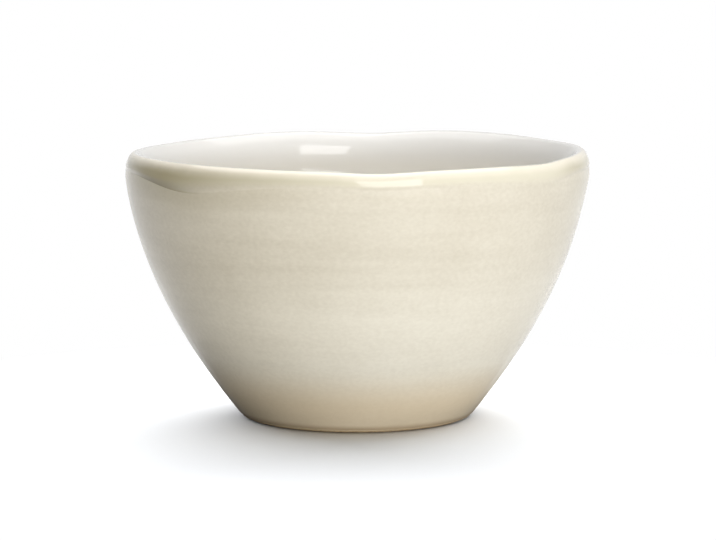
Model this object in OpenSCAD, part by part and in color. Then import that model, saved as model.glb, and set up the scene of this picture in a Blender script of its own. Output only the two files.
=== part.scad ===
// Prep bowl: a hand-formed stoneware bowl with a white lining, a brushed sand-coloured
// coat and a thicker roll of glaze over its uneven lip. It stands on a bare foot ring.
// Millimetres, +Z up, origin on the table at the centre of the foot ring.

/* [Bowl] */
// Widest outside diameter, at the lip
bowl_d = 120; // [100:1:150]
// Height of the lip's crest above the table, before it was pressed by hand
bowl_h = 69.7; // [58:0.1:90]
// Lean of the outside wall just under the lip, in degrees from upright
lip_lean = 8.5; // [4:0.5:12]
// Lean of the inside wall just under the lip, in degrees from upright
in_lean = 5.5; // [2:0.5:10]
// Height of the inside floor above the table
floor_z = 7; // [5:0.5:12]

/* [Lip] */
// From the lip's crest out to its widest place
crest_out = 2.2; // [1.5:0.1:4]
// From the crest in to the inside wall
crest_in = 4; // [2.5:0.1:6]
// Height over which the lip rounds off outside
out_rise = 5.6; // [4:0.1:7]
// Height over which the lip rounds off inside
in_rise = 8; // [4:0.1:12]
// Depth of the deepest place where the lip was pressed down by hand
press_depth = 1.6; // [0.2:0.1:3]
// How far below the crest the presses fade out
press_reach = 18; // [10:1:30]
// How far the lip sways in and out of a true circle
sway = 0.35; // [0.05:0.05:1.5]

/* [Foot ring] */
// Diameter of the outside wall carried down to the table
foot_d = 59.2; // [48:0.2:70]
// Height of the foot ring, from the table to the underside of the body
foot_h = 2; // [1.6:0.1:4]
// Width of the foot ring
foot_w = 4.5; // [3:0.1:8]
// Rounding of the foot ring's edges at the table
foot_round = 0.4; // [0.2:0.05:0.6]
// Gap between the foot ring and the coat that hangs over it
lute_gap = 0.05; // [0.04:0.01:0.2]

/* [Glaze] */
// Thickness of the glaze coats
glaze_t = 0.45; // [0.3:0.05:0.8]
// Height above the table at which the outside coat was wiped off
wipe_z = 0.45; // [0.3:0.05:1]
// How far the rim glaze stands proud of the coats beside it
rim_bead = 0.2; // [0.1:0.05:0.4]
// Depth of the rim glaze below the crest where it is shortest
band_h = 4; // [3:0.1:8]
// How much further down the rim glaze ran at its deepest place
band_run = 3; // [0.5:0.1:6]
// Radius of the pooled glaze in the corner between underside and foot ring
pool_r = 0.5; // [0.2:0.05:0.6]

/* [Hidden] */

clay_colour = "#c8b394";
sand_colour = "#ddd4bf";
white_colour = "#ebe8e3";
rim_colour = "#cdc6a2";

// Places round the bowl, in degrees from +X, where the lip was pressed down
press_angles = [29, 86, 149, 275, 289, 323];
press_spreads = [15, 14, 48, 10, 85, 10];
press_depth_shares = [0.24, 0.7, 1, 0.32, 0.56, 0.28];
// Waves that the sway makes in one round
sway_waves = 3;
// Places where the rim glaze ran further down the wall
run_angles = [227, 321];
run_spreads = [17, 12];
run_shares = [1, 0.4];

// Handles of the inside curve: upper one as a share of the depth, lower one of the mouth
upper_handle_share = 0.6;
lower_handle_share = 0.62;

// Steps round the bowl, and along its section from the foot over the lip to the centre
turn_steps = 64;
turn_angles = [for (j = [0 : turn_steps - 1]) 360 * j / turn_steps];
foot_steps = 1;
wall_steps = 12;
band_steps = 3;
lip_out_steps = 4;
lip_in_steps = 7;
inside_steps = 12;
// Steps of the lip's inside that the rim glaze covers, and over which its roll runs out
over_steps = 3;
fade_steps = 2;
// Points in a rounded edge
edge_steps = 6;
// Power by which the wall's steps get shorter towards the lip
wall_ease = 1.5;

// Stations along the section at which one stretch ends and the next begins
seam_at = foot_steps;
band_at = seam_at + wall_steps;
lip_at = band_at + band_steps;
crest_at = lip_at + lip_out_steps;
rim_end_at = crest_at + over_steps;
inside_at = crest_at + lip_in_steps;
centre_at = inside_at + inside_steps;

// Quarters of two ellipses that meet at the lip's crest and run into the walls at their lean
lean = tan(lip_lean);
lip_r = bowl_d / 2 - rim_bead - crest_out;
crest_z = bowl_h - rim_bead;
wall_top = on_lip(-atan(lean * out_rise / crest_out));
inside_lean = tan(in_lean);
inside_turn = 180 - atan(inside_lean * in_rise / crest_in);
inside_top = on_lip(inside_turn);
// Turn on the outer quarter above which the rim glaze is everywhere
shoulder_turn = 45;
// Bow of the outside wall, a parabola from the foot to the lip
wall_bow = (wall_top.x - lean * wall_top.y - foot_d / 2) / pow(wall_top.y, 2);
inside_depth = inside_top.y - floor_z;

function smooth(x) = let(c = max(0, min(1, x))) c * c * (3 - 2 * c);
function turn_gap(a, b) = let(d = abs(a - b) % 360) min(d, 360 - d);

// Sum of smooth bumps of the given heights at the given angles, at the angle a
function bumps(a, angles, spreads, heights) =
    heights * [for (k = [0 : len(angles) - 1]) exp(-pow(turn_gap(a, angles[k]) / spreads[k], 2))];

// Section of the glazed bowl as [radius, height]: wall, lip and inside
function on_wall(z) = let(d = wall_top.y - z) [wall_top.x - lean * d - wall_bow * d * d, z];
function on_lip(turn) =
    let(reach = turn < 90 ? crest_out : crest_in, rise = turn < 90 ? out_rise : in_rise)
    [lip_r + reach * cos(turn), crest_z - rise + rise * sin(turn)];
function on_outside(z) = z < wall_top.y ? on_wall(z) : on_lip(asin(1 - (crest_z - z) / out_rise));
function on_inside(t) =
    let(
        upper = inside_top - upper_handle_share * inside_depth * [inside_lean, 1],
        lower = [lower_handle_share * inside_top.x, floor_z],
        centre = [0, floor_z],
        s = 1 - t
    )
    s * s * s * inside_top + 3 * s * s * t * upper + 3 * s * t * t * lower + t * t * t * centre;

// Height of the rim glaze's lower edge at the angle a
function band_z(a) = crest_z - band_h - band_run * bumps(a, run_angles, run_spreads, run_shares);

// Point at a station of the section, at the angle a
function between(from, to, share) = from + (to - from) * share;
function station(i, a) =
    i <= seam_at ? on_wall(between(wipe_z, foot_h, i / foot_steps)) :
    i <= band_at ? on_outside(between(band_z(a), foot_h, pow((band_at - i) / wall_steps, wall_ease))) :
    i <= lip_at ? on_outside(between(band_z(a), on_lip(shoulder_turn).y, (i - band_at) / band_steps)) :
    i <= crest_at ? on_lip(between(shoulder_turn, 90, (i - lip_at) / lip_out_steps)) :
    i <= inside_at ? on_lip(between(90, inside_turn, (i - crest_at) / lip_in_steps)) :
    on_inside((i - inside_at) / inside_steps);

// Direction out of the surface there: level at the foot, and straight up at the centre
function outward(i, a) =
    let(
        step = station(min(i + 1, centre_at), a) - station(max(i - 1, 0), a),
        way = step / norm(step)
    )
    i <= seam_at ? [1 / way.y, 0] :
    i == centre_at ? [0, 1] :
    [way.y, -way.x];

// How far the glazed surface stands out at a station: the roll of glaze over the lip
function roll(i) = rim_bead * smooth((i - band_at) / band_steps) * smooth((rim_end_at - i) / fade_steps);

// The same point in space, with the lip pressed and swayed by hand
function by_hand(p, a) =
    let(
        share = smooth((p.y - bowl_h + press_reach) / press_reach),
        r = p.x + share * sway * cos(sway_waves * a),
        drop = share * press_depth * bumps(a, press_angles, press_spreads, press_depth_shares)
    )
    [r * cos(a), r * sin(a), p.y - drop];

function glazed_point(i, a) = by_hand(station(i, a) + roll(i) * outward(i, a), a);
function clay_point(i, a) = by_hand(station(i, a) - glaze_t * outward(i, a), a);

// Radius of the bare clay at a height on the foot
function clay_foot_r(z) = on_wall(z).x - glaze_t * outward(seam_at, 0).x;

foot_top_r = clay_foot_r(foot_h) - lute_gap;
foot_edge_r = clay_foot_r(0) - lute_gap;
foot_in_r = foot_top_r - foot_w;

// Quarter of a rounded edge about a centre, from one angle to another
function arc(centre, r, from, to) =
    [for (k = [0 : edge_steps]) let(a = from + (to - from) * k / edge_steps) centre + r * [cos(a), sin(a)]];

// Closed solid through one loop of points for each step round the bowl.
// A point on the axis is shared by all the loops.
module turned(loops) {
    n = len(loops[0]);
    function on_axis(i) = loops[0][i].x == 0 && loops[0][i].y == 0;
    function corner(j, i) = (on_axis(i % n) ? 0 : j % turn_steps) * n + i % n;
    polyhedron(
        points = [for (loop = loops) each loop],
        faces = [
            for (j = [0 : turn_steps - 1], i = [0 : n - 1])
                let(a = corner(j, i), b = corner(j, i + 1), c = corner(j + 1, i + 1), d = corner(j + 1, i))
                    for (face = [[a, b, c], [a, c, d]])
                        if (face[0] != face[1] && face[1] != face[2] && face[2] != face[0]) face
        ]
    );
}

// Coat of glaze on the clay between two stations
module coat(first, last)
    turned([
        for (a = turn_angles)
            concat(
                [for (i = [first : last]) glazed_point(i, a)],
                [for (i = [last : -1 : first]) clay_point(i, a)]
            )
    ]);

// Fired clay: wall, lip and floor, with a flat underside where the foot ring sits
module clay_body()
    color(clay_colour)
        turned([
            for (a = turn_angles)
                concat([for (i = [seam_at : centre_at]) clay_point(i, a)], [[0, 0, foot_h]])
        ]);

// Bare clay ring that the bowl stands on
module foot_ring()
    color(clay_colour)
        rotate_extrude($fn = turn_steps)
            polygon(concat(
                [[foot_in_r, foot_h], [foot_top_r, foot_h]],
                arc([foot_edge_r - foot_round, foot_round], foot_round, 0, -90),
                arc([foot_in_r + foot_round, foot_round], foot_round, -90, -180)
            ));

// White lining from the inside of the lip to the centre of the floor
module inner_glaze() color(white_colour) coat(rim_end_at, centre_at);

// Sand-coloured coat from the wiped edge at the foot to the rim glaze
module outer_glaze() color(sand_colour) coat(0, band_at);

// Roll of thicker glaze over the lip
module rim_glaze() color(rim_colour) coat(band_at, rim_end_at);

// Coat on the underside, inside the foot ring, pooled in the corner
module base_glaze()
    color(sand_colour)
        rotate_extrude($fn = turn_steps)
            polygon(concat(
                [[0, foot_h], [foot_in_r, foot_h]],
                arc([foot_in_r - pool_r, foot_h - glaze_t - pool_r], pool_r, 0, 90),
                [[0, foot_h - glaze_t]]
            ));

clay_body();
foot_ring();
inner_glaze();
outer_glaze();
rim_glaze();
base_glaze();
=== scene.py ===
"""Prep bowl: a hand-formed stoneware bowl with its coats of glaze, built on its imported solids.

Every piece is a section that one Geometry Nodes tree turns round the bowl's axis. The same tree
presses the lip, sways it and lets the rim glaze run, so that all the pieces stay together.
"""
import math

import bpy
from bpy.props import FloatProperty, FloatVectorProperty, IntProperty, PointerProperty
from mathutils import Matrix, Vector


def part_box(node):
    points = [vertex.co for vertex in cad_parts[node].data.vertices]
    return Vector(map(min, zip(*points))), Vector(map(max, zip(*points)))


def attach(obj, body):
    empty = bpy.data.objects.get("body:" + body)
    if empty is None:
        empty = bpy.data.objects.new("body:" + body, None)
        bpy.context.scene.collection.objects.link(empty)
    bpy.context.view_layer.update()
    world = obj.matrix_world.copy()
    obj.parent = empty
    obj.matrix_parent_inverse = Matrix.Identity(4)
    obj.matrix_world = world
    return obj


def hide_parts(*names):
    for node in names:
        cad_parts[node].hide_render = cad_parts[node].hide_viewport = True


bl_info = {
    "name": "Prep bowl",
    "version": (1, 0, 0),
    "blender": (4, 5, 0),
    "location": "View3D > Sidebar > Bowl",
    "description": "Turns, forms and glazes a small stoneware bowl",
    "category": "Object",
}

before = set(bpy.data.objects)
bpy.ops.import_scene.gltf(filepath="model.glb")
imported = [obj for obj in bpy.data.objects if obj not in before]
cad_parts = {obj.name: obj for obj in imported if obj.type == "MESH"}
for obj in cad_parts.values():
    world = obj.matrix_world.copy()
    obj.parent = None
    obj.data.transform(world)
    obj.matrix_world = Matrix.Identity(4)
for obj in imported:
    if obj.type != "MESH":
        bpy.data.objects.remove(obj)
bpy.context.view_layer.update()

# The script works in metres
MM = 0.001
# Thickness of the glaze coats, and how far the rim glaze stands proud of them
GLAZE_T = 0.45 * MM
RIM_BEAD = 0.2 * MM

FOOT_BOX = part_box("foot_ring")
BASE_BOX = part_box("base_glaze")
COAT_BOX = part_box("outer_glaze")
LINING_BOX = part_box("inner_glaze")

# Where the lip was pressed down by hand: degrees from +X, spread in degrees, share of the depth
PRESSES = [
    (29, 15, 0.24),
    (86, 14, 0.7),
    (149, 48, 1),
    (275, 10, 0.32),
    (289, 85, 0.56),
    (323, 10, 0.28),
]
# Where the rim glaze ran further down the wall: degrees, spread, share of the run
RUNS = [(227, 17, 1), (321, 12, 0.4)]
# Where the rim glaze lies thick enough to turn olive: degrees, spread, share of the colour
OLIVE_PATCHES = [(206, 22, 0.75), (232, 37, 0.5), (183, 16, -0.85), (338, 8, 0.4), (100, 45, 0.7)]
# Where the sand glaze lets the clay warm it: degrees, spread, share of the colour
WARM_PATCHES = [(222, 42, 0.4), (40, 60, 0.3)]
# Waves that the sway makes in one round
SWAY_WAVES = 3
# Seed of the ripples and hollows that the hand left
HAND_SEED = 3.0

# Handles of the inside curve: upper one as a share of the depth, lower one of the mouth
UPPER_HANDLE_SHARE = 0.6
LOWER_HANDLE_SHARE = 0.62
# Turn on the lip's outer quarter above which the rim glaze is everywhere
SHOULDER_TURN = math.radians(45)
UPRIGHT_TURN = math.radians(90)

# Steps along the section: foot, wall, band under the lip, lip, inside, and a rounded edge
FOOT_STEPS = 2
WALL_STEPS = 60
BAND_STEPS = 12
# Steps of the band over which its roll rises from the wall
RISE_STEPS = 5
LIP_OUT_STEPS = 12
LIP_IN_STEPS = 21
INSIDE_STEPS = 56
EDGE_STEPS = 8
# Steps of the lip's inside that the rim glaze covers, and over which its roll runs out
OVER_STEPS = 9
FADE_STEPS = 6

# Width of the picture and focal length of its camera in pixels, and width of the sensor in mm
IMAGE_WIDTH = 716
FOCAL_LENGTH = 3350
SENSOR_WIDTH = 36.0

# Detail of the noise in a pattern that is smooth, cloudy or gritty, and the middle of its range
SMOOTH_DETAIL = 1.0
CLOUDY_DETAIL = 3.0
GRITTY_DETAIL = 4.0
NOISE_MIDDLE = 0.5


def to_linear(code):
    """Linear red, green and blue of an sRGB hex colour such as #dcd3c0."""
    shares = [int(code[i : i + 2], 16) / 255 for i in (1, 3, 5)]
    return tuple(c / 12.92 if c <= 0.04045 else ((c + 0.055) / 1.055) ** 2.4 for c in shares)


def length(name, description, default):
    """Property for a size in metres."""
    return FloatProperty(
        name=name, description=description, default=default, unit="LENGTH", precision=5
    )


def angle(name, description, degrees):
    """Property for an angle, given in degrees."""
    return FloatProperty(
        name=name, description=description, default=math.radians(degrees), subtype="ANGLE"
    )


def colour(name, description, code):
    """Property for a colour, given as an sRGB hex value."""
    return FloatVectorProperty(
        name=name, description=description, default=to_linear(code), subtype="COLOR", min=0, max=1
    )


def light_level(name, description, default):
    """Property for a level of light, at which 1 is plain white."""
    return FloatProperty(name=name, description=description, default=default, min=0)


class BowlSizes(bpy.types.PropertyGroup):
    """Sizes of the bowl and its coats"""

    bowl_d: length(
        "Bowl diameter",
        "Widest outside diameter, at the lip",
        COAT_BOX[1].x - COAT_BOX[0].x + 2 * RIM_BEAD,
    )
    bowl_h: length("Bowl height", "Height of the lip's crest before it was pressed", 69.7 * MM)
    lip_lean: angle("Outside lean", "Lean of the outside wall just under the lip", 8.5)
    in_lean: angle("Inside lean", "Lean of the inside wall just under the lip", 5.5)
    floor_z: length("Inside floor", "Height of the inside floor", LINING_BOX[0].z + GLAZE_T)
    crest_out: length("Crest out", "From the lip's crest out to its widest place", 2.2 * MM)
    crest_in: length("Crest in", "From the lip's crest in to the inside wall", 4 * MM)
    out_rise: length("Outer rounding", "Height over which the lip rounds off outside", 5.6 * MM)
    in_rise: length("Inner rounding", "Height over which the lip rounds off inside", 8 * MM)
    press_depth: length("Press depth", "Deepest place where the lip was pressed down", 1.6 * MM)
    press_reach: length("Press reach", "How far below the crest the presses fade out", 18 * MM)
    sway: length("Sway", "How far the lip sways in and out of a circle", 0.35 * MM)
    unevenness: length("Unevenness", "How far the hand-formed wall strays from its curve", 0.1 * MM)
    uneven_size: length("Unevenness size", "Distance from one hollow in the wall to the next", 26 * MM)
    ripple: length("Lip ripple", "Height of the small ripples along the lip", 0.16 * MM)
    ripple_size: length("Ripple size", "Distance from one ripple in the lip to the next", 11 * MM)
    foot_d: length("Foot diameter", "Outside wall carried down to the table", 59.2 * MM)
    foot_h: length("Foot height", "Height of the foot ring", FOOT_BOX[1].z)
    foot_top_r: length("Foot top radius", "Outside radius of the foot ring at its top", FOOT_BOX[1].x)
    foot_in_r: length("Foot inside radius", "Radius of the recess in the foot ring", BASE_BOX[1].x)
    foot_round: length("Foot rounding", "Rounding of the foot ring's edges", 0.4 * MM)
    glaze_t: length("Glaze thickness", "Thickness of the glaze coats", GLAZE_T)
    wipe_z: length("Wiped height", "Height at which the outside coat was wiped off", COAT_BOX[0].z)
    rim_bead: length("Rim roll", "How far the rim glaze stands proud of its neighbours", RIM_BEAD)
    band_h: length("Band height", "Depth of the rim glaze below the crest at its shortest", 4 * MM)
    band_run: length("Band run", "How much further the rim glaze ran at its deepest", 3 * MM)
    pool_r: length("Pool radius", "Radius of the glaze pooled in the underside's corner", 0.5 * MM)
    turn_steps: IntProperty(name="Steps", description="Steps in one round", default=256, min=32)


class BowlColours(bpy.types.PropertyGroup):
    """Colours of the glazes and the clay"""

    sand: colour("Sand", "The brushed outside glaze where it lies full", "#e7e2d3")
    sand_thin: colour("Thin sand", "The outside glaze between brush strokes", "#cac2b0")
    sand_warm: colour("Warm sand", "The outside glaze where the clay warms it", "#ebdfc4")
    sand_warm_thin: colour("Thin warm sand", "The same between brush strokes", "#c0b498")
    sand_pooled: colour("Pooled sand", "The outside glaze where it gathers at the foot", "#e2c99f")
    cream: colour("Cream", "The rim glaze where it lies thin", "#dad4bf")
    olive: colour("Olive", "The rim glaze where it lies thick", "#a69b78")
    olive_deep: colour("Deep olive", "The rim glaze where it gathered at its lower edge", "#867c5c")
    # The pale crest is partly the glaze thinning there and partly a painted highlight along the crest
    crest: colour("Crest", "The rim glaze where it thins over the crest", "#ede5d3")
    white: colour("White", "The lining", "#e9e7e3")
    white_thick: colour("Thick white", "The lining where it lies thicker", "#e9e5dc")
    clay: colour("Clay", "The bare fired clay", "#c4ab86")
    clay_grit: colour("Grit", "Darker grit in the clay", "#9c8260")


class BowlStage(bpy.types.PropertyGroup):
    """Camera, floor and light"""

    camera_tilt: angle("Camera tilt", "Height of the camera above the level of the bowl's middle", 7.6)
    camera_distance: length("Camera distance", "From the camera to the bowl's middle", 869 * MM)
    middle_z: length("Middle", "Height of the bowl's middle, about which the camera tilts", 33 * MM)
    target_x: length("Target side", "Place across the bowl at the picture's centre", 0.4 * MM)
    target_z: length("Target height", "Height at the picture's centre", 37.6 * MM)
    focal_widths: FloatProperty(
        name="Focal length",
        description="Focal length in picture widths",
        default=FOCAL_LENGTH / IMAGE_WIDTH,
    )
    floor_left: light_level("Floor left", "Share of light the floor throws back on the left", 0.29)
    floor_right: light_level("Floor right", "Share of light it throws back on the right", 0.355)
    floor_shown: colour("Floor shown", "The floor as the camera sees it, a little cool", "#e5e7ea")
    ambient_left: light_level("Ambient left", "Light from all over the left", 0.01)
    ambient_right: light_level("Ambient right", "Light from all over the right", 0.08)
    mirrored_left: light_level("Mirrored left", "White that the gloss mirrors on the left", 0.65)
    mirrored_right: light_level("Mirrored right", "White that the gloss mirrors on the right", 1.0)


class Section:
    """The bowl's section as radius and height, from the foot over the lip to the centre."""

    def __init__(self, sizes):
        self.sizes = sizes
        self.lean = math.tan(sizes.lip_lean)
        self.in_lean = math.tan(sizes.in_lean)
        self.lip_r = sizes.bowl_d / 2 - sizes.rim_bead - sizes.crest_out
        self.crest_z = sizes.bowl_h - sizes.rim_bead
        self.band_z = self.crest_z - sizes.band_h
        self.inside_turn = math.pi - math.atan(self.in_lean * sizes.in_rise / sizes.crest_in)
        self.top_r, self.top_z = self.on_lip(-math.atan(self.lean * sizes.out_rise / sizes.crest_out))
        self.bow = (self.top_r - self.lean * self.top_z - sizes.foot_d / 2) / self.top_z**2
        self.seam_at = FOOT_STEPS
        self.band_at = self.seam_at + WALL_STEPS
        self.lip_at = self.band_at + BAND_STEPS
        self.crest_at = self.lip_at + LIP_OUT_STEPS
        self.rim_end_at = self.crest_at + OVER_STEPS
        self.inside_at = self.crest_at + LIP_IN_STEPS
        self.centre_at = self.inside_at + INSIDE_STEPS
        self.points = [self.station(i) for i in range(self.centre_at + 1)]

    def on_wall(self, z):
        drop = self.top_z - z
        return Vector((self.top_r - self.lean * drop - self.bow * drop**2, z))

    def on_lip(self, turn):
        sizes = self.sizes
        outer = turn < UPRIGHT_TURN
        reach = sizes.crest_out if outer else sizes.crest_in
        rise = sizes.out_rise if outer else sizes.in_rise
        return Vector((self.lip_r + reach * math.cos(turn), self.crest_z - rise + rise * math.sin(turn)))

    def on_outside(self, z):
        if z < self.top_z:
            return self.on_wall(z)
        return self.on_lip(math.asin(1 - (self.crest_z - z) / self.sizes.out_rise))

    def on_inside(self, share):
        start = self.on_lip(self.inside_turn)
        floor_z = self.sizes.floor_z
        upper = start - UPPER_HANDLE_SHARE * (start.y - floor_z) * Vector((self.in_lean, 1))
        lower = Vector((LOWER_HANDLE_SHARE * start.x, floor_z))
        centre = Vector((0, floor_z))
        left = 1 - share
        return (
            left**3 * start
            + 3 * left**2 * share * upper
            + 3 * left * share**2 * lower
            + share**3 * centre
        )

    def station(self, i):
        """Point of the glazed section at a station, with the band at its shortest."""
        sizes = self.sizes
        if i <= self.seam_at:
            return self.on_wall(between(sizes.wipe_z, sizes.foot_h, i / FOOT_STEPS))
        if i <= self.band_at:
            return self.on_outside(between(sizes.foot_h, self.band_z, (i - self.seam_at) / WALL_STEPS))
        if i <= self.lip_at:
            shoulder = self.on_lip(SHOULDER_TURN).y
            return self.on_outside(between(self.band_z, shoulder, (i - self.band_at) / BAND_STEPS))
        if i <= self.crest_at:
            return self.on_lip(between(SHOULDER_TURN, UPRIGHT_TURN, (i - self.lip_at) / LIP_OUT_STEPS))
        if i <= self.inside_at:
            return self.on_lip(between(UPRIGHT_TURN, self.inside_turn, (i - self.crest_at) / LIP_IN_STEPS))
        return self.on_inside((i - self.inside_at) / INSIDE_STEPS)

    def outward(self, i):
        """Direction out of the surface: level at the foot, straight up at the centre."""
        way = self.points[min(i + 1, self.centre_at)] - self.points[max(i - 1, 0)]
        way.normalize()
        if i <= self.seam_at:
            return Vector((1 / way.y, 0))
        if i == self.centre_at:
            return Vector((0, 1))
        return Vector((way.y, -way.x))

    def roll(self, i):
        """How far the roll of glaze over the lip stands out at a station."""
        start = smooth((i - self.band_at) / RISE_STEPS)
        end = smooth((self.rim_end_at - i) / FADE_STEPS)
        return self.sizes.rim_bead * start * end

    def run_share(self, i):
        """How far a station follows the edge of the rim glaze down the wall."""
        if i <= self.band_at:
            return max(0, i - self.seam_at) / WALL_STEPS
        return max(0, self.lip_at - i) / BAND_STEPS

    def rim_place(self, i):
        """0 at the lower edge of the rim glaze, 1 at the lip's shoulder, 2 at its crest, 3 at the end."""
        if i <= self.lip_at:
            return max(0, i - self.band_at) / BAND_STEPS
        if i <= self.crest_at:
            return 1 + (i - self.lip_at) / LIP_OUT_STEPS
        return 2 + min(1, (i - self.crest_at) / OVER_STEPS)

    def glazed(self, i):
        return (*(self.points[i] + self.roll(i) * self.outward(i)), self.run_share(i), self.rim_place(i))

    def clay(self, i):
        bare = self.points[i] - self.sizes.glaze_t * self.outward(i)
        return (*bare, self.run_share(i), self.rim_place(i))


def between(start, end, share):
    return start + (end - start) * share


def smooth(share):
    share = max(0, min(1, share))
    return share * share * (3 - 2 * share)


def arc(centre, radius, start, end):
    """Points of a rounded edge, as an outline that follows no run of the rim glaze."""
    turns = [math.radians(start + (end - start) * k / EDGE_STEPS) for k in range(EDGE_STEPS + 1)]
    return [plain(centre[0] + radius * math.cos(t), centre[1] + radius * math.sin(t)) for t in turns]


def plain(radius, z):
    return (radius, z, 0.0, 0.0)


def add_node(tree, kind, inputs=None, **settings):
    """Adds a node with its settings, and links or fills its inputs."""
    node = tree.nodes.new(kind)
    for name, value in settings.items():
        setattr(node, name, value)
    for key, value in (inputs or {}).items():
        if isinstance(value, bpy.types.NodeSocket):
            tree.links.new(value, node.inputs[key])
        else:
            node.inputs[key].default_value = value
    return node


def bump_sum(tree, turn, places):
    """Sum, at an angle, of smooth bumps at the given places round the bowl."""
    total = 0.0
    for degrees, spread, share in places:
        away = add_node(
            tree, "ShaderNodeMath", {0: turn, 1: math.radians(degrees)}, operation="SUBTRACT"
        ).outputs[0]
        away = add_node(
            tree, "ShaderNodeMath", {0: away, 1: math.pi, 2: -math.pi}, operation="WRAP"
        ).outputs[0]
        away = add_node(
            tree, "ShaderNodeMath", {0: away, 1: math.radians(spread)}, operation="DIVIDE"
        ).outputs[0]
        back = add_node(tree, "ShaderNodeMath", {0: away, 1: -1.0}, operation="MULTIPLY").outputs[0]
        fall = add_node(tree, "ShaderNodeMath", {0: away, 1: back}, operation="MULTIPLY").outputs[0]
        bump = add_node(tree, "ShaderNodeMath", {0: fall}, operation="EXPONENT").outputs[0]
        total = add_node(
            tree, "ShaderNodeMath", {0: bump, 1: share, 2: total}, operation="MULTIPLY_ADD"
        ).outputs[0]
    return total


TREE_INPUTS = [
    ("Steps", "NodeSocketInt"),
    ("Crest Height", "NodeSocketFloat"),
    ("Press Depth", "NodeSocketFloat"),
    ("Press Reach", "NodeSocketFloat"),
    ("Sway", "NodeSocketFloat"),
    ("Run", "NodeSocketFloat"),
    ("Wall Top", "NodeSocketFloat"),
    ("Lean", "NodeSocketFloat"),
    ("Bow", "NodeSocketFloat"),
    ("Crest Line", "NodeSocketFloat"),
    ("Lip Reach", "NodeSocketFloat"),
    ("Lip Rise", "NodeSocketFloat"),
    ("Unevenness", "NodeSocketFloat"),
    ("Unevenness Size", "NodeSocketFloat"),
    ("Ripple", "NodeSocketFloat"),
    ("Ripple Size", "NodeSocketFloat"),
    ("Foot Height", "NodeSocketFloat"),
    ("Seed", "NodeSocketFloat"),
    ("Material", "NodeSocketMaterial"),
]
# Radius over which the unevenness of the wall fades out towards the centre of the floor
FLAT_MIDDLE = 20 * MM
# Height above the foot over which it fades out towards the foot ring
FLAT_FOOT = 14 * MM
# Edges sharper than this stay crisp
CRISP_EDGE = math.radians(40)
# Points nearer than this, at the axis, are one point
WELD = 0.001 * MM


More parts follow.
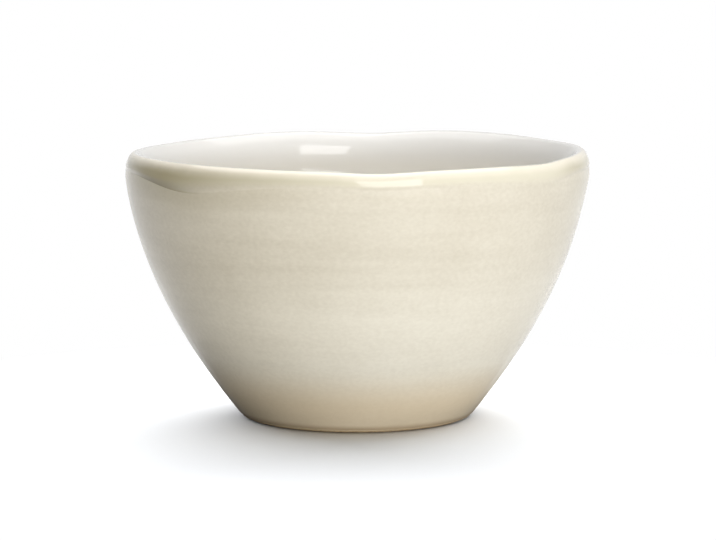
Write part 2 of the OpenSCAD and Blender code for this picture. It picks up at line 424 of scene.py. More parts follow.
def turning_tree():
    """Geometry Nodes tree that turns a section into a piece and forms it by hand."""
    tree = bpy.data.node_groups.new("Turned and formed by hand", "GeometryNodeTree")
    tree.interface.new_socket("Section", in_out="INPUT", socket_type="NodeSocketGeometry")
    for name, kind in TREE_INPUTS:
        tree.interface.new_socket(name, in_out="INPUT", socket_type=kind)
    tree.interface.new_socket("Piece", in_out="OUTPUT", socket_type="NodeSocketGeometry")
    given = add_node(tree, "NodeGroupInput").outputs

    # The section is swept round a circle, and each point keeps its section place and its turn
    outline = add_node(tree, "GeometryNodeMeshToCurve", {"Mesh": given["Section"]})
    place = add_node(tree, "GeometryNodeInputPosition").outputs[0]
    outline = add_node(tree, "GeometryNodeCaptureAttribute", {0: outline.outputs[0]}, domain="POINT")
    outline.capture_items.new("VECTOR", "Place")
    tree.links.new(place, outline.inputs[1])
    circle = add_node(tree, "GeometryNodeCurvePrimitiveCircle", {"Resolution": given["Steps"]})
    step = add_node(tree, "GeometryNodeInputIndex").outputs[0]
    circle = add_node(tree, "GeometryNodeCaptureAttribute", {0: circle.outputs[0]}, domain="POINT")
    circle.capture_items.new("FLOAT", "Step")
    tree.links.new(step, circle.inputs[1])
    swept = add_node(
        tree, "GeometryNodeCurveToMesh", {"Curve": circle.outputs[0], "Profile Curve": outline.outputs[0]}
    ).outputs[0]
    turn = add_node(
        tree, "ShaderNodeMath", {0: circle.outputs[1], 1: given["Steps"]}, operation="DIVIDE"
    ).outputs[0]
    turn = add_node(tree, "ShaderNodeMath", {0: turn, 1: math.tau}, operation="MULTIPLY").outputs[0]
    section = add_node(tree, "ShaderNodeSeparateXYZ", {0: outline.outputs[1]}).outputs
    radius, height = section["X"], section["Z"]

    # The rim glaze runs down: a point keeps its distance from the wall as it goes
    share = add_node(
        tree, "GeometryNodeInputNamedAttribute", {"Name": "run_share"}, data_type="FLOAT"
    ).outputs[0]
    run = add_node(
        tree, "ShaderNodeMath", {0: bump_sum(tree, turn, RUNS), 1: given["Run"]}, operation="MULTIPLY"
    ).outputs[0]
    run = add_node(tree, "ShaderNodeMath", {0: run, 1: share}, operation="MULTIPLY").outputs[0]
    lowered = add_node(tree, "ShaderNodeMath", {0: height, 1: run}, operation="SUBTRACT").outputs[0]
    outsides = []
    for level in (height, lowered):
        drop = add_node(
            tree, "ShaderNodeMath", {0: given["Wall Top"], 1: level}, operation="SUBTRACT"
        ).outputs[0]
        drop = add_node(tree, "ShaderNodeMath", {0: drop, 1: 0.0}, operation="MAXIMUM").outputs[0]
        slope = add_node(
            tree, "ShaderNodeMath", {0: drop, 1: given["Bow"], 2: given["Lean"]}, operation="MULTIPLY_ADD"
        ).outputs[0]
        wall = add_node(tree, "ShaderNodeMath", {0: drop, 1: slope}, operation="MULTIPLY").outputs[0]
        above = add_node(
            tree, "ShaderNodeMath", {0: level, 1: given["Wall Top"]}, operation="MAXIMUM"
        ).outputs[0]
        below = add_node(
            tree, "ShaderNodeMath", {0: given["Crest Line"], 1: above}, operation="SUBTRACT"
        ).outputs[0]
        below = add_node(
            tree, "ShaderNodeMath", {0: below, 1: given["Lip Rise"]}, operation="DIVIDE"
        ).outputs[0]
        rest = add_node(tree, "ShaderNodeMath", {0: 2.0, 1: below}, operation="SUBTRACT").outputs[0]
        square = add_node(tree, "ShaderNodeMath", {0: below, 1: rest}, operation="MULTIPLY").outputs[0]
        width = add_node(tree, "ShaderNodeMath", {0: square}, operation="SQRT").outputs[0]
        lip = add_node(
            tree, "ShaderNodeMath", {0: width, 1: given["Lip Reach"]}, operation="MULTIPLY"
        ).outputs[0]
        outsides.append(add_node(tree, "ShaderNodeMath", {0: lip, 1: wall}, operation="SUBTRACT").outputs[0])
    shift = add_node(
        tree, "ShaderNodeMath", {0: outsides[1], 1: outsides[0]}, operation="SUBTRACT"
    ).outputs[0]
    radius = add_node(tree, "ShaderNodeMath", {0: radius, 1: shift}, operation="ADD").outputs[0]

    # The lip is pressed down and sways, most at its crest
    reach = add_node(
        tree, "ShaderNodeMath", {0: given["Crest Height"], 1: given["Press Reach"]}, operation="SUBTRACT"
    ).outputs[0]
    at_lip = add_node(
        tree,
        "ShaderNodeMapRange",
        {"Value": lowered, "From Min": reach, "From Max": given["Crest Height"]},
        interpolation_type="SMOOTHSTEP",
    ).outputs[0]
    waves = add_node(tree, "ShaderNodeMath", {0: turn, 1: SWAY_WAVES}, operation="MULTIPLY").outputs[0]
    sway = add_node(tree, "ShaderNodeMath", {0: waves}, operation="COSINE").outputs[0]
    sway = add_node(tree, "ShaderNodeMath", {0: sway, 1: given["Sway"]}, operation="MULTIPLY").outputs[0]
    radius = add_node(
        tree, "ShaderNodeMath", {0: sway, 1: at_lip, 2: radius}, operation="MULTIPLY_ADD"
    ).outputs[0]
    press = add_node(
        tree,
        "ShaderNodeMath",
        {0: bump_sum(tree, turn, PRESSES), 1: given["Press Depth"]},
        operation="MULTIPLY",
    ).outputs[0]

    # Small ripples along the lip and shallow hollows in the wall, as a hand leaves them
    flat = add_node(tree, "ShaderNodeCombineXYZ", {"X": radius, "Z": lowered}).outputs[0]
    turned = add_node(
        tree, "ShaderNodeVectorRotate", {"Vector": flat, "Angle": turn}, rotation_type="Z_AXIS"
    ).outputs[0]
    strays = []
    for size, amount in (("Ripple Size", "Ripple"), ("Unevenness Size", "Unevenness")):
        scale = add_node(tree, "ShaderNodeMath", {0: 1.0, 1: given[size]}, operation="DIVIDE").outputs[0]
        noise = add_node(
            tree,
            "ShaderNodeTexNoise",
            {"Vector": turned, "W": given["Seed"], "Scale": scale, "Detail": SMOOTH_DETAIL},
            noise_dimensions="4D",
        ).outputs[0]
        noise = add_node(
            tree, "ShaderNodeMath", {0: noise, 1: NOISE_MIDDLE}, operation="SUBTRACT"
        ).outputs[0]
        noise = add_node(tree, "ShaderNodeMath", {0: noise, 1: given[amount]}, operation="MULTIPLY")
        strays.append(noise.outputs[0])
    press = add_node(tree, "ShaderNodeMath", {0: press, 1: strays[0]}, operation="ADD").outputs[0]
    drop = add_node(tree, "ShaderNodeMath", {0: press, 1: at_lip}, operation="MULTIPLY").outputs[0]
    height = add_node(tree, "ShaderNodeMath", {0: lowered, 1: drop}, operation="SUBTRACT").outputs[0]
    off_middle = add_node(
        tree,
        "ShaderNodeMapRange",
        {"Value": radius, "From Min": 0.0, "From Max": FLAT_MIDDLE},
        interpolation_type="SMOOTHSTEP",
    ).outputs[0]
    wall_start = add_node(
        tree, "ShaderNodeMath", {0: given["Foot Height"], 1: FLAT_FOOT}, operation="ADD"
    ).outputs[0]
    off_foot = add_node(
        tree,
        "ShaderNodeMapRange",
        {"Value": height, "From Min": given["Foot Height"], "From Max": wall_start},
        interpolation_type="SMOOTHSTEP",
    ).outputs[0]
    stray = add_node(tree, "ShaderNodeMath", {0: strays[1], 1: off_middle}, operation="MULTIPLY").outputs[0]
    radius = add_node(
        tree, "ShaderNodeMath", {0: stray, 1: off_foot, 2: radius}, operation="MULTIPLY_ADD"
    ).outputs[0]

    # The points go to their places, and the piece is closed at the axis
    flat = add_node(tree, "ShaderNodeCombineXYZ", {"X": radius, "Z": height}).outputs[0]
    turned = add_node(
        tree, "ShaderNodeVectorRotate", {"Vector": flat, "Angle": turn}, rotation_type="Z_AXIS"
    ).outputs[0]
    piece = add_node(tree, "GeometryNodeSetPosition", {"Geometry": swept, "Position": turned}).outputs[0]
    for name, patches in (("olive", OLIVE_PATCHES), ("warm", WARM_PATCHES)):
        piece = add_node(
            tree,
            "GeometryNodeStoreNamedAttribute",
            {"Geometry": piece, "Name": name, "Value": bump_sum(tree, turn, patches)},
            data_type="FLOAT",
            domain="POINT",
        ).outputs[0]
    piece = add_node(tree, "GeometryNodeMergeByDistance", {"Geometry": piece, "Distance": WELD}).outputs[0]
    bend = add_node(tree, "GeometryNodeInputMeshEdgeAngle").outputs["Unsigned Angle"]
    crisp = add_node(
        tree, "FunctionNodeCompare", {0: bend, 1: CRISP_EDGE}, data_type="FLOAT", operation="GREATER_THAN"
    ).outputs[0]
    piece = add_node(tree, "GeometryNodeSetShadeSmooth", {"Geometry": piece}, domain="FACE").outputs[0]
    piece = add_node(
        tree,
        "GeometryNodeSetShadeSmooth",
        {"Geometry": piece, "Selection": crisp, "Shade Smooth": False},
        domain="EDGE",
    ).outputs[0]
    piece = add_node(tree, "GeometryNodeRealizeInstances", {"Geometry": piece}).outputs[0]
    piece = add_node(
        tree, "GeometryNodeSetMaterial", {"Geometry": piece, "Material": given["Material"]}
    ).outputs[0]
    add_node(tree, "NodeGroupOutput", {0: piece})
    return tree


def turn_piece(name, outline, node, slot, closed=False):
    """Turns an outline of radius, height, run share and rim place into a piece of the bowl.

    A closed outline goes back to its first point. Any other starts and ends on the axis.
    """
    sizes = bpy.context.scene.bowl_sizes
    section = Section(sizes)
    count = len(outline)
    edges = [(i, (i + 1) % count) for i in range(count if closed else count - 1)]
    mesh = bpy.data.meshes.new(name)
    mesh.from_pydata([(r, 0, z) for r, z, _, _ in outline], edges, [])
    for column, attribute in ((2, "run_share"), (3, "rim_place")):
        layer = mesh.attributes.new(attribute, "FLOAT", "POINT")
        layer.data.foreach_set("value", [point[column] for point in outline])
    piece = bpy.data.objects.new(name, mesh)
    bpy.context.collection.objects.link(piece)

    tree = bpy.data.node_groups.get("Turned and formed by hand") or turning_tree()
    modifier = piece.modifiers.new("Turned", "NODES")
    modifier.node_group = tree
    values = {
        "Steps": sizes.turn_steps,
        "Crest Height": sizes.bowl_h,
        "Press Depth": sizes.press_depth,
        "Press Reach": sizes.press_reach,
        "Sway": sizes.sway,
        "Run": sizes.band_run,
        "Wall Top": section.top_z,
        "Lean": section.lean,
        "Bow": section.bow,
        "Crest Line": section.crest_z,
        "Lip Reach": sizes.crest_out,
        "Lip Rise": sizes.out_rise,
        "Unevenness": sizes.unevenness,
        "Unevenness Size": sizes.uneven_size,
        "Ripple": sizes.ripple,
        "Ripple Size": sizes.ripple_size,
        "Foot Height": sizes.foot_h,
        "Seed": HAND_SEED,
        "Material": slot_material(slot),
    }
    for item in tree.interface.items_tree:
        if item.in_out == "INPUT" and item.name in values:
            modifier[item.identifier] = values[item.name]

    shape = piece.evaluated_get(bpy.context.evaluated_depsgraph_get())
    made = bpy.data.meshes.new_from_object(shape)
    made.name = name
    piece.modifiers.clear()
    piece.data = made
    bpy.data.meshes.remove(mesh)
    if not made.polygons:
        raise RuntimeError(f"{name} has no faces")
    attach(piece, "root")
    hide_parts(node)
    return piece


def new_material(name):
    """An empty material and its node tree."""
    material = bpy.data.materials.new(name)
    material.use_nodes = True
    material.node_tree.nodes.clear()
    return material, material.node_tree


def finish_material(tree, inputs):
    """Ends a material's tree in a surface with the given inputs."""
    surface = add_node(tree, "ShaderNodeBsdfPrincipled", inputs)
    add_node(tree, "ShaderNodeOutputMaterial", {"Surface": surface.outputs[0]})


def rgba(linear):
    return (*linear, 1.0)


# Brush strokes of the sand glaze: how far they run round the bowl, and how tall they are
STROKE_LENGTH = 45 * MM
STROKE_HEIGHT = 3 * MM
STROKE_SHARE = 0.6
# Specks between the strokes, which give the glaze its linen look
SPECK_LENGTH = 1.2 * MM
SPECK_HEIGHT = 0.8 * MM
SPECK_SHARE = 0.75
# Cloudy patches where the glaze lies thicker
CLOUD_SIZE = 17 * MM
CLOUD_SHARE = 0.7
# Cover of glaze, as the patterns add up, at which it looks thin or full
THIN_COVER = 0.45
FULL_COVER = 2.15
# Painted light: below the first height the wall is made lighter, as if the glaze lay fuller on its belly,
# standing in for light thrown up from the table: this much more cover, from the first height to the second
BELLY_TOP = 50 * MM
BELLY_HEIGHT = 28 * MM
BELLY_PAINTED_LIGHT = 0.9
# It gathers towards the foot: this share of the pooled colour, from the first height to the second
POOL_TOP = 19 * MM
POOL_HEIGHT = 6 * MM
POOL_SHARE = 0.55
# It is thin at its wiped edge: this share of the clay shows, from the first height to the second, and the
# darker colour there is also painted shade where the wall meets the table
WIPE_TOP = 2.5 * MM
WIPE_HEIGHT = 0.7 * MM
WIPE_SHADE_SHARE = 0.7
# Below the rim the wall is tinted darker and olive, most where the rim glaze is most olive: share of the way
# up the wall at which this starts, share of the colour at the rim, and shares of olive there between which it
# goes from none to all
VEIL_START = 0.86
VEIL_SHARE = 0.5
VEIL_LEAST = 0.2
VEIL_MOST = 1.0
# Height of the strokes and specks in its skin, and the skin's roughness between them and on them
STROKE_RELIEF = 0.008 * MM
HOLLOW_ROUGHNESS = 0.24
FULL_ROUGHNESS = 0.12
GLASS_IOR = 1.5


def brushed_sand(tree, colours):
    """Colour and height of the brushed sand glaze, level strokes with a linen-like grain, with painted light
    on the lower wall and painted shade at the wiped edge.
    """
    place = add_node(tree, "ShaderNodeTexCoord").outputs["Object"]
    patterns = []
    for across, tall in ((STROKE_LENGTH, STROKE_HEIGHT), (SPECK_LENGTH, SPECK_HEIGHT)):
        scale = (1 / across, 1 / across, 1 / tall)
        scaled = add_node(tree, "ShaderNodeMapping", {"Vector": place, "Scale": scale}).outputs[0]
        pattern = add_node(
            tree, "ShaderNodeTexNoise", {"Vector": scaled, "Scale": 1.0, "Detail": SMOOTH_DETAIL}
        )
        patterns.append(pattern.outputs[0])
    strokes, specks = patterns
    clouds = add_node(
        tree,
        "ShaderNodeTexNoise",
        {"Vector": place, "Scale": 1 / CLOUD_SIZE, "Detail": CLOUDY_DETAIL},
    ).outputs[0]
    grain = add_node(tree, "ShaderNodeMath", {0: strokes, 1: STROKE_SHARE}, operation="MULTIPLY").outputs[0]
    grain = add_node(
        tree, "ShaderNodeMath", {0: specks, 1: SPECK_SHARE, 2: grain}, operation="MULTIPLY_ADD"
    ).outputs[0]
    cover = add_node(
        tree, "ShaderNodeMath", {0: clouds, 1: CLOUD_SHARE, 2: grain}, operation="MULTIPLY_ADD"
    ).outputs[0]

    # The painted light on the belly, the pool at the foot and the wiped edge, which also paints shade at the
    # foot, follow the height on the bowl
    height = add_node(tree, "ShaderNodeSeparateXYZ", {0: place}).outputs["Z"]
    stretches = [
        (BELLY_TOP, BELLY_HEIGHT, BELLY_PAINTED_LIGHT),
        (POOL_TOP, POOL_HEIGHT, POOL_SHARE),
        (WIPE_TOP, WIPE_HEIGHT, WIPE_SHADE_SHARE),
    ]
    belly_light, pooled, wiped = [
        add_node(
            tree,
            "ShaderNodeMapRange",
            {"Value": height, "From Min": top, "From Max": bottom, "To Max": most},
            interpolation_type="SMOOTHSTEP",
        ).outputs[0]
        for top, bottom, most in stretches
    ]
    # Painted light: more cover, so a lighter wall, low on the belly
    cover = add_node(tree, "ShaderNodeMath", {0: cover, 1: belly_light}, operation="ADD").outputs[0]
    full = add_node(
        tree, "ShaderNodeMapRange", {"Value": cover, "From Min": THIN_COVER, "From Max": FULL_COVER}
    ).outputs[0]
    tone, warm_tone = [
        add_node(tree, "ShaderNodeMix", {0: full, 6: rgba(thin), 7: rgba(thick)}, data_type="RGBA").outputs[2]
        for thin, thick in (
            (colours.sand_thin, colours.sand),
            (colours.sand_warm_thin, colours.sand_warm),
        )
    ]

    # The olive veil under the rim follows the runs of the rim glaze
    warm, olive, up_wall = [
        add_node(tree, "ShaderNodeAttribute", attribute_name=name).outputs["Fac"]
        for name in ("warm", "olive", "run_share")
    ]
    rim_tint = add_node(
        tree,
        "ShaderNodeMapRange",
        {"Value": olive, "From Min": VEIL_LEAST, "From Max": VEIL_MOST, "To Max": VEIL_SHARE},
    ).outputs[0]
    veil = add_node(
        tree,
        "ShaderNodeMapRange",
        {"Value": up_wall, "From Min": VEIL_START, "To Max": rim_tint},
        interpolation_type="SMOOTHSTEP",
    ).outputs[0]
    layers = [
        (warm, warm_tone),
        (veil, rgba(colours.olive)),
        (pooled, rgba(colours.sand_pooled)),
        # The clay at the wiped edge is also painted shade where the wall meets the table
        (wiped, rgba(colours.clay)),
    ]
    for share, layer in layers:
        tone = add_node(tree, "ShaderNodeMix", {0: share, 6: tone, 7: layer}, data_type="RGBA").outputs[2]
    return tone, grain


def sand_glaze(tree, colours):
    """Glossy sand glaze, brushed on: level strokes show through a clear skin."""
    tone, grain = brushed_sand(tree, colours)
    normal = add_node(tree, "ShaderNodeBump", {"Distance": STROKE_RELIEF, "Height": grain}).outputs[0]
    rough = add_node(
        tree,
        "ShaderNodeMapRange",
        {
            "Value": grain,
            "From Max": STROKE_SHARE + SPECK_SHARE,
            "To Min": HOLLOW_ROUGHNESS,
            "To Max": FULL_ROUGHNESS,
        },
    ).outputs[0]
    finish_material(tree, {"Base Color": tone, "Roughness": rough, "IOR": GLASS_IOR, "Normal": normal})


# Noise by which the edges of the colours on the rim wander: its size, and how far in places along it
WANDER_SIZE = 5 * MM
WANDER_SHARE = 0.2
# The same noise in the skin of the rim glaze: its height and how much of it shows
RIM_RELIEF = 0.01 * MM
RIM_RELIEF_SHARE = 0.5
RIM_ROUGHNESS = 0.04
# Places along it between which the olive glaze gathered and looks deeper
GATHER_START = 0.1
GATHER_END = 0.7
# Shares of olive between which the lower edge of the glaze turns from soft to crisp
EDGE_START = 0.6
EDGE_END = 1.1
# Places along it between which the band, the pale crest, which is partly a painted highlight, and the white
# of the lining take over
BAND_PLACES = (0.1, 0.9)
CREST_PLACES = (0.8, 1.75)
LINING_PLACES = (1.95, 2.3)


def rim_glaze(tree, colours):
    """Thick glaze, rolled over the lip: olive where it gathered, cream elsewhere, and pale at the crest,
    partly as a painted highlight.
    """
    tone, _ = brushed_sand(tree, colours)
    place = add_node(tree, "ShaderNodeTexCoord").outputs["Object"]
    wander = add_node(
        tree,
        "ShaderNodeTexNoise",
        {"Vector": place, "Scale": 1 / WANDER_SIZE, "Detail": CLOUDY_DETAIL},
    ).outputs[0]
    along = add_node(tree, "ShaderNodeAttribute", attribute_name="rim_place").outputs["Fac"]
    along = add_node(
        tree, "ShaderNodeMath", {0: wander, 1: WANDER_SHARE, 2: along}, operation="MULTIPLY_ADD"
    ).outputs[0]
    olive = add_node(tree, "ShaderNodeAttribute", attribute_name="olive").outputs["Fac"]
    band = add_node(
        tree, "ShaderNodeMix", {0: olive, 6: rgba(colours.cream), 7: rgba(colours.olive)}, data_type="RGBA"
    ).outputs[2]
    gathered = add_node(
        tree,
        "ShaderNodeMapRange",
        {"Value": along, "From Min": GATHER_END, "From Max": GATHER_START, "To Max": olive},
        interpolation_type="SMOOTHSTEP",
    ).outputs[0]
    band = add_node(
        tree, "ShaderNodeMix", {0: gathered, 6: band, 7: rgba(colours.olive_deep)}, data_type="RGBA"
    ).outputs[2]
    # The band starts softly over the sand glaze, but at once where it is most olive
    edge = add_node(
        tree,
        "ShaderNodeMapRange",
        {"Value": olive, "From Min": EDGE_START, "From Max": EDGE_END},
        interpolation_type="SMOOTHSTEP",
    ).outputs[0]
    layers = [
        (BAND_PLACES, edge, band),
        # The pale crest is partly a painted highlight along the crest
        (CREST_PLACES, 0.0, rgba(colours.crest)),
        (LINING_PLACES, 0.0, rgba(colours.white)),
    ]
    for (start, end), least, layer in layers:
        share = add_node(
            tree,
            "ShaderNodeMapRange",
            {"Value": along, "From Min": start, "From Max": end, "To Min": least},
            interpolation_type="SMOOTHSTEP",
        ).outputs[0]
        tone = add_node(tree, "ShaderNodeMix", {0: share, 6: tone, 7: layer}, data_type="RGBA").outputs[2]
    normal = add_node(
        tree,
        "ShaderNodeBump",
        {"Strength": RIM_RELIEF_SHARE, "Distance": RIM_RELIEF, "Height": wander},
    ).outputs[0]
    finish_material(
        tree, {"Base Color": tone, "Roughness": RIM_ROUGHNESS, "IOR": GLASS_IOR, "Normal": normal}
    )


# Depth below the crest at which the white lining starts to lie thicker, and lies full
THICK_START = 2 * MM
THICK_END = 12 * MM
# Cloudy patches in it, and how far they thicken it
LINING_CLOUD_SIZE = 14 * MM
LINING_CLOUDS = 0.4
# Dimples of its skin, as on an orange: how far apart they lie, how deep, and how much of that shows
PEEL_SIZE = 2.5 * MM
PEEL_RELIEF = 0.02 * MM
PEEL_SHARE = 0.3
LINING_ROUGHNESS = 0.03


def white_glaze(tree, colours):
    """Glossy white glaze, poured in and out: smooth, and a little warmer where it lies thick."""
    place = add_node(tree, "ShaderNodeTexCoord").outputs["Object"]
    clouds, peel = [
        add_node(
            tree, "ShaderNodeTexNoise", {"Vector": place, "Scale": 1 / size, "Detail": detail}
        ).outputs[0]
        for size, detail in ((LINING_CLOUD_SIZE, CLOUDY_DETAIL), (PEEL_SIZE, SMOOTH_DETAIL))
    ]
    height = add_node(tree, "ShaderNodeSeparateXYZ", {0: place}).outputs["Z"]
    crest = bpy.context.scene.bowl_sizes.bowl_h
    deep = add_node(
        tree,
        "ShaderNodeMapRange",
        {"Value": height, "From Min": crest - THICK_START, "From Max": crest - THICK_END},
        interpolation_type="SMOOTHSTEP",
    ).outputs[0]
    thick = add_node(
        tree, "ShaderNodeMath", {0: clouds, 1: LINING_CLOUDS, 2: deep}, operation="MULTIPLY_ADD"
    ).outputs[0]
    thick = add_node(tree, "ShaderNodeMath", {0: thick, 1: deep}, operation="MULTIPLY").outputs[0]
    tone = add_node(
        tree,
        "ShaderNodeMix",
        {0: thick, 6: rgba(colours.white), 7: rgba(colours.white_thick)},
        data_type="RGBA",
    ).outputs[2]
    normal = add_node(
        tree, "ShaderNodeBump", {"Strength": PEEL_SHARE, "Distance": PEEL_RELIEF, "Height": peel}
    ).outputs[0]
    rough = add_node(
        tree, "ShaderNodeMapRange", {"Value": clouds, "To Max": LINING_ROUGHNESS}
    ).outputs[0]
    finish_material(tree, {"Base Color": tone, "Roughness": rough, "IOR": GLASS_IOR, "Normal": normal})


# Grit in the bare clay: its size, and the levels of its noise between which a grain shows
GRIT_SIZE = 0.7 * MM
GRIT_START = 0.56
GRIT_END = 0.7
# Its height in the surface and how much of that shows, and the roughness between and on the grains
GRIT_RELIEF = 0.05 * MM
GRIT_RELIEF_SHARE = 0.8
CLAY_ROUGHNESS = 0.7
GRIT_ROUGHNESS = 0.95


def bare_stoneware(tree, colours):
    """Bare stoneware, fired: dry and matte, with darker grit in it."""
    place = add_node(tree, "ShaderNodeTexCoord").outputs["Object"]
    grit = add_node(
        tree,
        "ShaderNodeTexNoise",
        {"Vector": place, "Scale": 1 / GRIT_SIZE, "Detail": GRITTY_DETAIL},
    ).outputs[0]
    grains = add_node(
        tree,
        "ShaderNodeMapRange",
        {"Value": grit, "From Min": GRIT_START, "From Max": GRIT_END},
        interpolation_type="SMOOTHSTEP",
    ).outputs[0]
    tone = add_node(
        tree,
        "ShaderNodeMix",
        {0: grains, 6: rgba(colours.clay), 7: rgba(colours.clay_grit)},
        data_type="RGBA",
    ).outputs[2]
    rough = add_node(
        tree, "ShaderNodeMapRange", {"Value": grit, "To Min": CLAY_ROUGHNESS, "To Max": GRIT_ROUGHNESS}
    ).outputs[0]
    normal = add_node(
        tree, "ShaderNodeBump", {"Strength": GRIT_RELIEF_SHARE, "Distance": GRIT_RELIEF, "Height": grit}
    ).outputs[0]
    finish_material(tree, {"Base Color": tone, "Roughness": rough, "IOR": GLASS_IOR, "Normal": normal})


# The material of each slot: its name, and the function that makes its surface
SLOT_MATERIALS = {
    "bare_stoneware": ("Stoneware, bare", bare_stoneware),
    "white_glaze": ("White glaze, poured", white_glaze),
    "sand_glaze": ("Sand glaze, brushed", sand_glaze),
    "rim_glaze": ("Olive glaze, thick", rim_glaze),
}


def slot_material(slot):
    """The material of a slot, made when the first piece asks for it."""
    name, make_surface = SLOT_MATERIALS[slot]
    material = bpy.data.materials.get(name)
    if material is None:
        material, tree = new_material(name)
        make_surface(tree, bpy.context.scene.bowl_colours)
    return material


class BOWL_OT_clay_body(bpy.types.Operator):
    """Turns the fired clay wall, lip and floor"""

    bl_idname = "bowl.clay_body"
    bl_label = "Clay Body"

    def execute(self, context):
        section = Section(context.scene.bowl_sizes)
        outline = [plain(0.0, context.scene.bowl_sizes.foot_h)]
        outline += [section.clay(i) for i in range(section.seam_at, section.centre_at + 1)]
        turn_piece("stoneware_body", outline, "clay_body", "bare_stoneware")
        return {"FINISHED"}


class BOWL_OT_foot_ring(bpy.types.Operator):
    """Turns the bare ring that the bowl stands on"""

    bl_idname = "bowl.foot_ring"
    bl_label = "Foot Ring"

    def execute(self, context):
        sizes = context.scene.bowl_sizes
        section = Section(sizes)
        bottom = sizes.foot_top_r - section.on_wall(sizes.foot_h).x + section.on_wall(0).x
        edge = sizes.foot_round
        outline = arc((sizes.foot_in_r + edge, edge), edge, 180, 270)
        outline += arc((bottom - edge, edge), edge, 270, 360)
        outline += [plain(sizes.foot_top_r, sizes.foot_h), plain(sizes.foot_in_r, sizes.foot_h)]
        turn_piece("stoneware_foot", outline, "foot_ring", "bare_stoneware", closed=True)
        return {"FINISHED"}


class BOWL_OT_inner_glaze(bpy.types.Operator):
    """Lines the inside with white glaze"""

    bl_idname = "bowl.inner_glaze"
    bl_label = "White Lining"

    def execute(self, context):
        section = Section(context.scene.bowl_sizes)
        first, last = section.rim_end_at, section.centre_at
        outline = [section.clay(i) for i in range(last, first - 1, -1)]
        outline += [section.glazed(i) for i in range(first, last + 1)]
        turn_piece("white_lining", outline, "inner_glaze", "white_glaze")
        return {"FINISHED"}


class BOWL_OT_outer_glaze(bpy.types.Operator):
    """Coats the outside with brushed sand glaze"""

    bl_idname = "bowl.outer_glaze"
    bl_label = "Sand Coat"

    def execute(self, context):
        section = Section(context.scene.bowl_sizes)
        outer, inner = section.glazed(0), section.clay(0)
        half_t = (outer[0] - inner[0]) / 2
        outline = arc((outer[0] - half_t, outer[1] + half_t), half_t, 180, 360)
        outline += [section.glazed(i) for i in range(1, section.band_at + 1)]
        outline += [section.clay(i) for i in range(section.band_at, 0, -1)]
        turn_piece("sand_coat", outline, "outer_glaze", "sand_glaze", closed=True)
        return {"FINISHED"}


class BOWL_OT_rim_glaze(bpy.types.Operator):
    """Rolls the thick olive glaze over the lip"""

    bl_idname = "bowl.rim_glaze"
    bl_label = "Rim Roll"

    def execute(self, context):
        section = Section(context.scene.bowl_sizes)
        first, last = section.band_at, section.rim_end_at
        outline = [section.glazed(i) for i in range(first, last + 1)]
        outline += [section.clay(i) for i in range(last, first - 1, -1)]
        turn_piece("rim_roll", outline, "rim_glaze", "rim_glaze", closed=True)
        return {"FINISHED"}


class BOWL_OT_base_glaze(bpy.types.Operator):
    """Glazes the underside inside the foot ring"""

    bl_idname = "bowl.base_glaze"
    bl_label = "Underside Coat"

    def execute(self, context):
        sizes = context.scene.bowl_sizes
        below = sizes.foot_h - sizes.glaze_t
        pool = sizes.pool_r
        outline = [plain(0.0, below)]
        outline += arc((sizes.foot_in_r - pool, below - pool), pool, 90, 0)
        outline += [plain(sizes.foot_in_r, sizes.foot_h), plain(0.0, sizes.foot_h)]
        turn_piece("underside_coat", outline, "base_glaze", "sand_glaze")
        return {"FINISHED"}


# Lamps: name, degrees round from the camera, degrees up, distance, width and height in metres, the
# level to which it lights a white surface that faces it, what it lights, and whether it shows in gloss
LAMPS = [
    ("Front softbox", 19, 27, 1.1, 0.5, 0.5, 0.295, "bowl", True),
    ("Low fill", 28, 2.8, 1.5, 1.3, 0.2, 0.58, "bowl", False),
    ("Front fill", -9, 9, 1.5, 1.4, 0.4, 0.195, "bowl", False),
    ("Left overhead", -120, 72, 1.2, 1.2, 1.2, 0.5, "bowl", True),
    ("Right overhead", 130, 74, 1.2, 1.2, 1.2, 0.52, "bowl", True),
    ("Floor strip", 178, 42, 1.3, 3.6, 0.8, 4.76, "floor", False),
    ("Floor overhead", 90, 89, 1.2, 1.6, 1.6, 0.71, "floor", False),
    ("Floor right", 110, 30, 1.4, 1.6, 0.8, 0.42, "floor", False),
    ("Floor left", -115, 30, 1.4, 1.6, 0.8, 0.3, "floor", False),
]
# Half the width of the floor, in metres
FLOOR_HALF = 3.0
# Half the width across which the floor goes from throwing back little light to throwing back more
BOUNCE_HALF = 60 * MM
# Close to the foot the bowl shades the floor, a little more on the left: distances from this place
# across between which the light thrown back goes from this share to all of it
SHADED_X = -12 * MM
SHADED_NEAR = 30 * MM
SHADED_FAR = 65 * MM
SHADED_SHARE = 0.35
# The floor keeps the bowl's shadow near a place in front of it, and is plain white further off
SHADOW_Y = -30 * MM
SHADOW_NEAR = 80 * MM
SHADOW_FAR = 160 * MM
PLAIN_WHITE = (1, 1, 1, 1)


def seen_directly(tree):
    """1 for what the camera sees, straight or in a reflection, and 0 for light that only bounces."""
    path = add_node(tree, "ShaderNodeLightPath").outputs
    seen = add_node(
        tree,
        "ShaderNodeMath",
        {0: path["Is Camera Ray"], 1: path["Is Glossy Ray"]},
        operation="MAXIMUM",
    ).outputs[0]
    return add_node(
        tree, "ShaderNodeMath", {0: seen, 1: path["Is Transmission Ray"]}, operation="MAXIMUM"
    ).outputs[0]


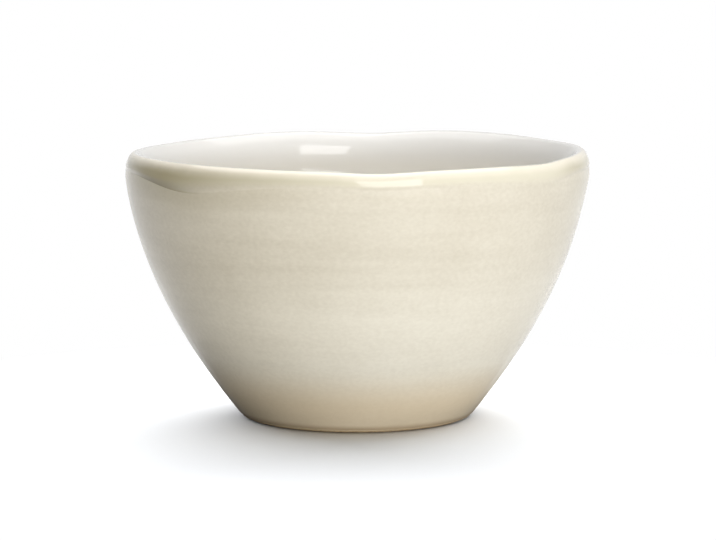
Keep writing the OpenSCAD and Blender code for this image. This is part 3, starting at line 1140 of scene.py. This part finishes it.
def floor_material(stage):
    """Matt white sweep: it keeps the bowl's shadow and runs out to plain white."""
    material, tree = new_material("White sweep")
    place = add_node(tree, "ShaderNodeTexCoord").outputs["Object"]
    away = add_node(
        tree, "ShaderNodeVectorMath", {0: place, 1: (0, SHADOW_Y, 0)}, operation="DISTANCE"
    ).outputs["Value"]
    far = add_node(
        tree,
        "ShaderNodeMapRange",
        {"Value": away, "From Min": SHADOW_NEAR, "From Max": SHADOW_FAR},
        interpolation_type="SMOOTHSTEP",
    ).outputs[0]
    white = add_node(
        tree, "ShaderNodeMath", {0: far, 1: seen_directly(tree)}, operation="MULTIPLY"
    ).outputs[0]
    across = add_node(tree, "ShaderNodeSeparateXYZ", {0: place}).outputs["X"]
    thrown = add_node(
        tree,
        "ShaderNodeMapRange",
        {
            "Value": across,
            "From Min": -BOUNCE_HALF,
            "From Max": BOUNCE_HALF,
            "To Min": stage.floor_left,
            "To Max": stage.floor_right,
        },
    ).outputs[0]
    from_shade = add_node(
        tree, "ShaderNodeVectorMath", {0: place, 1: (SHADED_X, 0, 0)}, operation="DISTANCE"
    ).outputs["Value"]
    open_share = add_node(
        tree,
        "ShaderNodeMapRange",
        {"Value": from_shade, "From Min": SHADED_NEAR, "From Max": SHADED_FAR, "To Min": SHADED_SHARE},
        interpolation_type="SMOOTHSTEP",
    ).outputs[0]
    thrown = add_node(tree, "ShaderNodeMath", {0: thrown, 1: open_share}, operation="MULTIPLY").outputs[0]
    matt, shown = [
        add_node(tree, "ShaderNodeBsdfDiffuse", {"Color": tone}).outputs[0]
        for tone in (thrown, rgba(stage.floor_shown))
    ]
    by_camera = add_node(tree, "ShaderNodeLightPath").outputs["Is Camera Ray"]
    matt = add_node(tree, "ShaderNodeMixShader", {0: by_camera, 1: matt, 2: shown}).outputs[0]
    lit = add_node(tree, "ShaderNodeEmission", {"Color": PLAIN_WHITE}).outputs[0]
    surface = add_node(tree, "ShaderNodeMixShader", {0: white, 1: matt, 2: lit}).outputs[0]
    add_node(tree, "ShaderNodeOutputMaterial", {"Surface": surface})
    return material


def add_floor(context, stage):
    """Sets the white floor that the bowl stands on."""
    corners = [(-1, -1), (1, -1), (1, 1), (-1, 1)]
    mesh = bpy.data.meshes.new("floor")
    mesh.from_pydata([(x * FLOOR_HALF, y * FLOOR_HALF, 0) for x, y in corners], [], [(0, 1, 2, 3)])
    mesh.materials.append(floor_material(stage))
    floor = bpy.data.objects.new("floor", mesh)
    context.collection.objects.link(floor)
    return floor


def white_studio(stage):
    """World that the camera sees as plain white, and that lights the bowl more from the right."""
    world = bpy.data.worlds.new("White studio")
    world.use_nodes = True
    tree = world.node_tree
    tree.nodes.clear()
    way = add_node(tree, "ShaderNodeTexCoord").outputs["Generated"]
    across = add_node(tree, "ShaderNodeSeparateXYZ", {0: way}).outputs["X"]
    ambient, mirrored = [
        add_node(
            tree,
            "ShaderNodeMapRange",
            {"Value": across, "From Min": -1.0, "From Max": 1.0, "To Min": left, "To Max": right},
        ).outputs[0]
        for left, right in (
            (stage.ambient_left, stage.ambient_right),
            (stage.mirrored_left, stage.mirrored_right),
        )
    ]
    level = add_node(
        tree, "ShaderNodeMix", {0: seen_directly(tree), 2: ambient, 3: mirrored}, data_type="FLOAT"
    ).outputs[0]
    by_camera = add_node(tree, "ShaderNodeLightPath").outputs["Is Camera Ray"]
    level = add_node(
        tree, "ShaderNodeMix", {0: by_camera, 2: level, 3: 1.0}, data_type="FLOAT"
    ).outputs[0]
    white = add_node(tree, "ShaderNodeBackground", {"Color": PLAIN_WHITE, "Strength": level}).outputs[0]
    add_node(tree, "ShaderNodeOutputWorld", {"Surface": white})
    return world


def add_lamps(context, stage, floor):
    """Sets the lamps round the bowl. Each lights only the bowl or only the floor."""
    lit_by = {}
    for target, state in (("floor", "INCLUDE"), ("bowl", "EXCLUDE")):
        lit_by[target] = bpy.data.collections.new(f"Floor {state.lower()}d")
        lit_by[target].objects.link(floor)
        lit_by[target].collection_objects[0].light_linking.link_state = state
    middle = Vector((0, 0, stage.middle_z))
    for name, side, up, distance, width, tall, light, target, in_gloss in LAMPS:
        lamp = bpy.data.lights.new(name, "AREA")
        lamp.shape = "RECTANGLE"
        lamp.size = width
        lamp.size_y = tall
        # Enough power to light a white surface that faces it to the given level
        lamp.energy = light * math.pi**2 * distance**2
        holder = bpy.data.objects.new(name, lamp)
        context.collection.objects.link(holder)
        holder.light_linking.receiver_collection = lit_by[target]
        holder.visible_glossy = in_gloss
        side, up = math.radians(side), math.radians(up)
        way = Vector((math.sin(side) * math.cos(up), -math.cos(side) * math.cos(up), math.sin(up)))
        holder.location = middle + distance * way
        holder.rotation_euler = (-way).to_track_quat("-Z", "Y").to_euler()


def add_camera(context, stage):
    """Sets the camera in front of the bowl, a little above it."""
    lens = bpy.data.cameras.new("camera")
    lens.sensor_width = SENSOR_WIDTH
    lens.lens = stage.focal_widths * SENSOR_WIDTH
    camera = bpy.data.objects.new("camera", lens)
    context.collection.objects.link(camera)
    tilt = stage.camera_tilt
    away = Vector((0, -math.cos(tilt), math.sin(tilt)))
    camera.location = Vector((0, 0, stage.middle_z)) + stage.camera_distance * away
    target = Vector((stage.target_x, 0, stage.target_z))
    camera.rotation_euler = (target - camera.location).to_track_quat("-Z", "Y").to_euler()
    context.scene.camera = camera


class BOWL_OT_stage(bpy.types.Operator):
    """Sets the floor, the light and the camera"""

    bl_idname = "bowl.stage"
    bl_label = "Stage"

    def execute(self, context):
        stage = context.scene.bowl_stage
        floor = add_floor(context, stage)
        context.scene.world = white_studio(stage)
        add_lamps(context, stage, floor)
        add_camera(context, stage)
        context.scene.view_settings.view_transform = "Standard"
        return {"FINISHED"}


# The operators, in the order in which the bowl is made
STEPS = [
    BOWL_OT_stage,
    BOWL_OT_clay_body,
    BOWL_OT_foot_ring,
    BOWL_OT_inner_glaze,
    BOWL_OT_outer_glaze,
    BOWL_OT_rim_glaze,
    BOWL_OT_base_glaze,
]


class BOWL_PT_sidebar(bpy.types.Panel):
    """Lists the bowl's pieces and sizes"""

    bl_idname = "BOWL_PT_sidebar"
    bl_label = "Prep Bowl"
    bl_space_type = "VIEW_3D"
    bl_region_type = "UI"
    bl_category = "Bowl"

    def draw(self, context):
        for step in STEPS:
            self.layout.operator(step.bl_idname)
        scene = context.scene
        for group in (scene.bowl_sizes, scene.bowl_colours, scene.bowl_stage):
            column = self.layout.column()
            for name in group.__annotations__:
                column.prop(group, name)


GROUPS = [("bowl_sizes", BowlSizes), ("bowl_colours", BowlColours), ("bowl_stage", BowlStage)]


def register():
    for name, group in GROUPS:
        bpy.utils.register_class(group)
        setattr(bpy.types.Scene, name, PointerProperty(type=group))
    for kind in (*STEPS, BOWL_PT_sidebar):
        bpy.utils.register_class(kind)


def unregister():
    for kind in (BOWL_PT_sidebar, *reversed(STEPS)):
        bpy.utils.unregister_class(kind)
    for name, group in reversed(GROUPS):
        delattr(bpy.types.Scene, name)
        bpy.utils.unregister_class(group)


def main():
    register()
    bpy.ops.bowl.stage()
    bpy.ops.bowl.clay_body()
    bpy.ops.bowl.foot_ring()
    bpy.ops.bowl.inner_glaze()
    bpy.ops.bowl.outer_glaze()
    bpy.ops.bowl.rim_glaze()
    bpy.ops.bowl.base_glaze()


if __name__ == "__main__":
    main()
